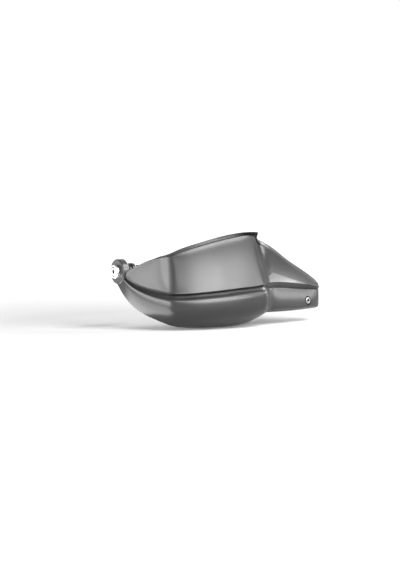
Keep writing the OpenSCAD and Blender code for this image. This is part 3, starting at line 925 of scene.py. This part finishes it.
    def cone(self) -> list[Ring]:
        """Cone nut that draws into the plug.

        Returns:
            Its profile.
        """
        big, tail, hole, length = self.plug_d / 2 - 0.2, self.plug_d / 2 - 2, self.screw_d / 2 + 0.1, self.cone_len
        return profile((hole + 0.3, 0.0), (big - 0.3, 0.0), (big, 0.3), (big, length * 0.4 - 0.2),
                       (big - 0.1, length * 0.4 + 0.2), (tail + 0.1, length - 0.5), (tail - 0.4, length),
                       (hole + 0.4, length), (hole, length - 0.4), (hole, 0.3))

    def build(self, wardrobe: Wardrobe) -> list[bpy.types.Object]:
        """Makes the whole stack.

        Args:
            wardrobe: the finishes.

        Returns:
            The pieces made.
        """
        grip, steel, aluminium = Axis.GRIP, Slot.BRIGHT_STEEL, Slot.ALUMINIUM
        inner = self.eye_face + self.eye_depth
        seat = inner + self.spacer_len
        stack = seat + self.washer_t + self.spigot_h
        plug = stack + self.washer_t
        bush = collar(self.eye_depth, self.bush_d, self.hole_d, 0.3)
        thrust = collar(self.washer_t, self.plug_d - 0.4, self.hole_d, 0.3)
        return [
            register(turned(self.cap(), grip, self.eye_face - self.cap_h, 128), "cup_washer", wardrobe.cap,
                     ["bar_end_cap"]),
            register(self.screw(), "bar_end_cap_screw", wardrobe.grip_steel, ["bar_end_screw"],
                     inner=wardrobe.socket),
            register(turned(bush, grip, self.eye_face), "eye_bush", wardrobe.cap, ["bar_end_bush"]),
            register(turned(self.spacer(), grip, inner, 112), "waisted_spacer", wardrobe.anodised,
                     ["bar_end_spacer"]),
            register(turned(self.spigot_washer(), grip, seat), "tube_washer", wardrobe.grip_steel,
                     ["bar_end_washer"]),
            register(turned(thrust, grip, stack), "plug_thrust_washer", wardrobe.grip_steel,
                     ["plug_washer"]),
            register(turned(self.plug(), grip, plug), "ribbed_plug", wardrobe.rubber,
                     ["plug_rubber"]),
            register(turned(self.cone(), grip, plug + self.plug_len), "cone_nut", wardrobe.grip_steel,
                     ["plug_cone"]),
        ]


@dataclass
class ArmMount:
    """What fixes the arm: screw, washers, sleeve, rubber pad, bent bracket and nut."""

    recess_depth: float = 3.6
    recess_d: float = 13.8
    washer_t: float = 1.2
    head_d: float = 10.4
    head_h: float = 4.2
    socket: float = 4.0
    socket_depth: float = 2.0
    screw_d: float = 6.0
    pitch: float = 1.0
    thread_len: float = 14.0
    tip: float = 2.5
    hole_d: float = 6.6
    boss_len: float = 14.0
    boss_d: float = 22.0
    pad_t: float = 2.0
    plate_t: float = 3.0
    plate_edge: float = 0.45
    sleeve_d: float = 9.6
    nut_h: float = 5.1
    nut_d: float = 11.52

    def screw(self) -> BMesh:
        """Low-head screw with a hexagon socket and a threaded end.

        Returns:
            The mesh in place.
        """
        head, key, half, deep = self.head_d / 2, self.socket / math.sqrt(3), self.screw_d / 2, self.socket_depth
        end = (self.boss_len + self.pad_t + self.plate_t + self.washer_t + self.nut_h + self.tip
               - self.recess_depth + self.washer_t + self.head_h - 0.5)
        tooth = end - self.thread_len
        rings = profile((0.0, deep + 0.5), (key * 0.85, deep, Form.HEXAGON), (key, deep - 0.1, Form.HEXAGON),
                        (key, 0.3, Form.HEXAGON), (key + 0.4, 0.0), (head - 1.4, 0.0))
        rings += fillet(Ring(head, 0.0), (-1, 0), (0, 1), 1.15, 7)
        rings += profile((head, self.head_h - 0.2), (head - 0.2, self.head_h), (half + 0.3, self.head_h),
                         (half, self.head_h + 0.3), (half, tooth), (half - 0.62, tooth + 0.4),
                         (half - 0.62, end - 0.5), (half - 1.1, end), (0.0, end))
        body = turn(rings)
        # The socket's faces get the dark painted shade.
        paint_socket_shade(body, key, 0.35, deep + 1.0)
        stud = thread(self.screw_d, self.pitch, tooth + 0.2, self.thread_len - 0.4)
        return placed(merged((body, stud)), Axis.ARM.place(self.recess_depth - self.washer_t - self.head_h))

    def nut(self) -> list[Ring]:
        """Hexagon nut with chamfered corners.

        Returns:
            Its profile.
        """
        corner, hole, height = self.nut_d / 2, self.screw_d / 2 + 0.1, self.nut_h
        flat = corner * math.cos(math.pi / 6)
        return profile((hole, 0.4), (hole + 0.4, 0.0), (flat - 0.1, 0.0), (corner, 0.55, Form.HEXAGON),
                       (corner, height - 0.55, Form.HEXAGON), (flat - 0.1, height), (hole + 0.4, height),
                       (hole, height - 0.4))

    def build(self, wardrobe: Wardrobe) -> list[bpy.types.Object]:
        """Makes the arm's fixing.

        Args:
            wardrobe: the finishes.

        Returns:
            The pieces made.
        """
        arm, steel, hole = Axis.ARM, Slot.BRIGHT_STEEL, self.hole_d
        back = self.boss_len + self.pad_t + self.plate_t
        seat = collar(self.washer_t, self.recess_d - 1, hole)
        sleeve = collar(self.boss_len - self.recess_depth, self.sleeve_d, hole)
        pad = collar(self.pad_t, self.boss_d - 2, hole, 0.4)
        washer = collar(self.washer_t, self.screw_d * 2.1, hole)
        return [
            register(self.screw(), "arm_cap_screw", wardrobe.arm_steel, ["arm_screw"],
                     inner=wardrobe.socket),
            register(turned(seat, arm, self.recess_depth - self.washer_t), "recess_washer", wardrobe.dull_steel,
                     ["arm_washer"]),
            register(turned(sleeve, arm, self.recess_depth), "boss_sleeve", wardrobe.arm_steel,
                     ["arm_sleeve"]),
            register(turned(pad, arm, self.boss_len), "rubber_pad", wardrobe.rubber, ["arm_pad"]),
            register(deburred("inner_bracket", self.plate_edge), "bent_bracket", wardrobe.powder,
                     ["inner_bracket"]),
            register(turned(washer, arm, back), "nut_washer", wardrobe.arm_steel, ["arm_back_washer"]),
            register(turned(self.nut(), arm, back + self.washer_t), "hexagon_nut", wardrobe.arm_steel,
                     ["arm_nut"]),
        ]


@dataclass
class BarClamp:
    """The two-piece handlebar clamp with its liners, screws and the bracket's screw."""

    ear_y: float = 16.7
    ear_h: float = 7.0
    washer_t: float = 1.2
    screw_d: float = 5.0
    pitch: float = 0.8
    width: float = 16.0
    half_edge: float = 0.7
    liner_edge: float = 0.2
    lug: tuple[float, float] = (-29.8, -19.0)
    web_face: float = 11.0
    bracket_screw_d: float = 6.0
    bracket_pitch: float = 1.0
    bracket_head_d: float = 10.4
    bracket_head_h: float = 4.2
    bracket_t: float = 3.0
    key: float = 4.0
    thread_len: float = 8.0

    def cap_screw(self, head_d: float, head_h: float, shank_d: float, length: float,
                  pitch: float) -> BMesh:
        """Knurled cap screw, head up, with the seat of its head at height zero.

        Args:
            head_d: diameter of the head.
            head_h: height of the head.
            shank_d: diameter of the shank.
            length: length of the shank under the head.
            pitch: pitch of the thread.

        Returns:
            The mesh in mm, along +Z.
        """
        head, corner, half = head_d / 2, self.key / math.sqrt(3), shank_d / 2
        core, tooth = half - 0.6 * pitch, self.thread_len - length
        rings = profile((0.0, head_h - 2.9), (corner * 0.85, head_h - 2.5, Form.HEXAGON),
                        (corner, head_h - 2.4, Form.HEXAGON), (corner, head_h - 0.3, Form.HEXAGON),
                        (corner + 0.35, head_h), (head - 0.6, head_h), (head - 0.1, head_h - 0.4),
                        (head, head_h - 0.6, Form.KNURL), (head, 0.4, Form.KNURL), (head - 0.25, 0.0),
                        (half + 0.2, 0.0), (half, -0.2), (half - 0.1, tooth + 0.3), (core, tooth),
                        (core, 0.4 - length), (core - 0.3, -length), (0.0, -length))
        body = turn(rings, 144)
        # The socket's faces get the dark painted shade.
        paint_socket_shade(body, corner, head_h - 3.2, head_h - 0.35)
        return merged((body, thread(shank_d, pitch, 0.2 - length, self.thread_len)))

    def washer(self, screw_d: float, factor: float) -> BMesh:
        """Flat washer from height zero up, in mm; the factor gives its outer diameter from the screw's."""
        return turn(collar(self.washer_t, screw_d * factor, screw_d + 0.6, 0.2, 0.15), closed=True)

    def build(self, wardrobe: Wardrobe) -> list[bpy.types.Object]:
        """Makes the clamp.

        Args:
            wardrobe: the finishes.

        Returns:
            The pieces made.
        """
        pieces = []
        for side in ("upper", "lower"):
            half = deburred(f"clamp_{side}", self.half_edge)
            pieces.append(register(half, f"clamp_half_{side}", wardrobe.anodised,
                                   [f"clamp_{side}"]))
        for side in ("upper", "lower"):
            liner = deburred(f"liner_{side}", self.liner_edge, 2)
            pieces.append(register(liner, f"rubber_liner_{side}", wardrobe.rubber,
                                   [f"liner_{side}"]))
        return pieces + self.fasteners(wardrobe)

    def fasteners(self, wardrobe: Wardrobe) -> list[bpy.types.Object]:
        """Makes the clamp's two screws, the bracket's screw and their washers.

        Args:
            wardrobe: the finishes.

        Returns:
            The pieces made.
        """
        screws, washers = [], []
        raised = self.ear_h + self.washer_t
        for y in (-self.ear_y, self.ear_y):
            washers.append(placed(self.washer(self.screw_d, 1.8), Axis.UPRIGHT.place(self.ear_h, (0.0, y, 0.0))))
            screw = self.cap_screw(self.screw_d * 1.7, self.screw_d, self.screw_d, self.ear_h + raised, self.pitch)
            screws.append(placed(screw, Axis.UPRIGHT.place(raised, (0.0, y, 0.0))))
        lug, steel = (0.0, *self.lug), Slot.BRIGHT_STEEL
        ring = placed(self.washer(self.bracket_screw_d, 2.1), Axis.GRIP.place(self.web_face, lug))
        bolt = self.cap_screw(self.bracket_head_d, self.bracket_head_h, self.bracket_screw_d,
                              self.bracket_t + self.washer_t + self.width - 1.0, self.bracket_pitch)
        placed(bolt, Axis.GRIP.place(self.web_face + self.washer_t, lug))
        return [
            register(merged(screws), "clamp_cap_screws", wardrobe.pair_steel, ["clamp_screws"],
                     inner=wardrobe.socket),
            register(merged(washers), "clamp_screw_washers", wardrobe.pair_steel, ["clamp_washers"]),
            register(bolt, "bracket_cap_screw", wardrobe.bracket_steel, ["bracket_screw"],
                     inner=wardrobe.socket),
            register(ring, "bracket_screw_washer", wardrobe.bracket_steel, ["bracket_washer"]),
        ]


# Studio


@dataclass(frozen=True)
class Softbox:
    """A rectangular lamp, with angles in degrees, sizes in metres and power in watts.

    It hangs at a distance from its aim, or from the camera's target where it has none, and faces it,
    unless facing gives the azimuth and elevation that its back is turned to.
    """

    name: str
    azimuth: float
    elevation: float
    size: tuple[float, float]
    power: float
    distance: float = 1.2
    aim: Point | None = None
    facing: tuple[float, float] | None = None


@dataclass
class Studio:
    """Floor, camera, world and softboxes, in metres."""

    azimuth: float = -33.0
    elevation: float = 5.0
    target: Point = (-0.1667, -0.0545, -0.0217)
    distance: float = 12.0
    lens: float = 500.0
    sensor: float = 36.0
    floor_z: float = -0.0868
    floor_grey: float = 0.48
    glow_reach: tuple[float, float] = (0.3, 0.95)
    glow: tuple[float, float] = (0.06, 0.9)
    ambient: float = 0.3
    softboxes: tuple[Softbox, ...] = (
        Softbox("left_softbox", -80.0, 12.0, (0.86, 0.62), 16.0),
        Softbox("front_softbox", 19.4, 28.0, (0.98, 0.58), 21.9),
        Softbox("high_softbox", 25.0, 55.0, (0.9, 0.3), 15.0),
        Softbox("right_softbox", 87.0, 34.0, (0.48, 0.3), 6.6),
        Softbox("rear_left_softbox", -147.0, -1.0, (0.5, 0.2), 1.2),
        Softbox("arm_card", 62.0, 17.7, (0.16, 0.025), 0.085, 0.084, (0.0, -0.066, -0.048), (14.0, 0.0)),
        Softbox("left_card", 0.0, -90.0, (0.17, 0.16), 0.4, 0.0, (-0.342, -0.02, -0.0862), (0.0, -90.0)),
    )

    def direction(self, azimuth: float, elevation: float) -> Vector:
        """Unit vector from the object, in degrees: azimuth 0 is in front and 90 towards +X."""
        a, e = math.radians(azimuth), math.radians(elevation)
        return Vector((math.sin(a) * math.cos(e), -math.cos(a) * math.cos(e), math.sin(e)))

    def stand(self, name: str, data: bpy.types.ID, place: Vector, back: Vector) -> bpy.types.Object:
        """Sets up a camera or a lamp.

        Args:
            name: the object's name.
            data: the camera or light.
            place: where it stands.
            back: the direction that its back is turned to.

        Returns:
            The new object.
        """
        thing = bpy.data.objects.new(name, data)
        thing.location = place
        thing.rotation_mode = "QUATERNION"
        thing.rotation_quaternion = (-back).to_track_quat("-Z", "Y")
        bpy.context.scene.collection.objects.link(thing)
        return thing

    def camera(self) -> None:
        """Sets the camera at the photograph's angle."""
        data = bpy.data.cameras.new("camera")
        data.lens, data.sensor_width = self.lens, self.sensor
        data.clip_start, data.clip_end = 0.05, 200.0
        back = self.direction(self.azimuth, self.elevation)
        bpy.context.scene.camera = self.stand("camera", data, Vector(self.target) + back * self.distance, back)

    def light(self, box: Softbox) -> None:
        """Hangs one softbox, unseen by the camera.

        Args:
            box: the softbox.
        """
        data = bpy.data.lights.new(box.name, "AREA")
        data.shape, data.size, data.size_y, data.energy = "RECTANGLE", box.size[0], box.size[1], box.power
        away = self.direction(box.azimuth, box.elevation)
        back = self.direction(*box.facing) if box.facing else away
        lamp = self.stand(box.name, data, Vector(box.aim or self.target) + away * box.distance, back)
        lamp.visible_camera = False

    def world(self) -> None:
        """White to the camera, to gloss and through glass; plain soft light for the rest."""
        world = bpy.data.worlds.new("studio_air")
        world.use_nodes = True
        sheet = NodeSheet(world.node_tree)
        level = sheet.span(sheet.seen(), (0.0, 1.0), (self.ambient, 1.0))
        air = sheet.add("ShaderNodeBackground", {"Color": WHITE, "Strength": level})
        sheet.add("ShaderNodeOutputWorld", {"Surface": air[0]})
        bpy.context.scene.world = world

    def floor(self) -> None:
        """Lays the pale floor, which keeps the object's shadow and turns white farther off."""
        bm = bmesh.new()
        bmesh.ops.create_grid(bm, x_segments=2, y_segments=2, size=60.0)
        bmesh.ops.translate(bm, vec=(0.0, 0.0, self.floor_z), verts=bm.verts)
        mesh = bpy.data.meshes.new("floor")
        bm.to_mesh(mesh)
        bm.free()
        floor = bpy.data.objects.new("floor", mesh)
        material, sheet, place = new_material("pale_floor")
        centre = (self.target[0], self.target[1], self.floor_z)
        away = sheet.add("ShaderNodeVectorMath", {0: place, 1: centre}, operation="DISTANCE")["Value"]
        white = sheet.math("MULTIPLY", sheet.seen(), sheet.span(away, self.glow_reach, self.glow))
        paint = sheet.add("ShaderNodeBsdfPrincipled", {"Base Color": (*[self.floor_grey] * 3, 1.0),
                                                       "Roughness": 0.9, "Specular IOR Level": 0.1})
        glow = sheet.add("ShaderNodeEmission", {"Color": WHITE, "Strength": white})
        both = sheet.add("ShaderNodeAddShader", {0: paint[0], 1: glow[0]})
        sheet.add("ShaderNodeOutputMaterial", {"Surface": both[0]})
        mesh.materials.append(material)
        bpy.context.scene.collection.objects.link(floor)

    def build(self) -> None:
        """Sets up the whole studio."""
        bpy.context.scene.view_settings.view_transform = "Standard"
        self.camera()
        self.world()
        self.floor()
        for box in self.softboxes:
            self.light(box)


def main() -> None:
    """Builds the studio and every sub-assembly."""
    logging.basicConfig(level=logging.INFO, format="%(message)s")
    Studio().build()
    wardrobe = Wardrobe(GroupKit())
    for assembly in (Shell(), BarEnd(), ArmMount(), BarClamp()):
        pieces = assembly.build(wardrobe)
        log.info("%s: %d pieces", type(assembly).__name__, len(pieces))


if __name__ == "__main__":
    main()
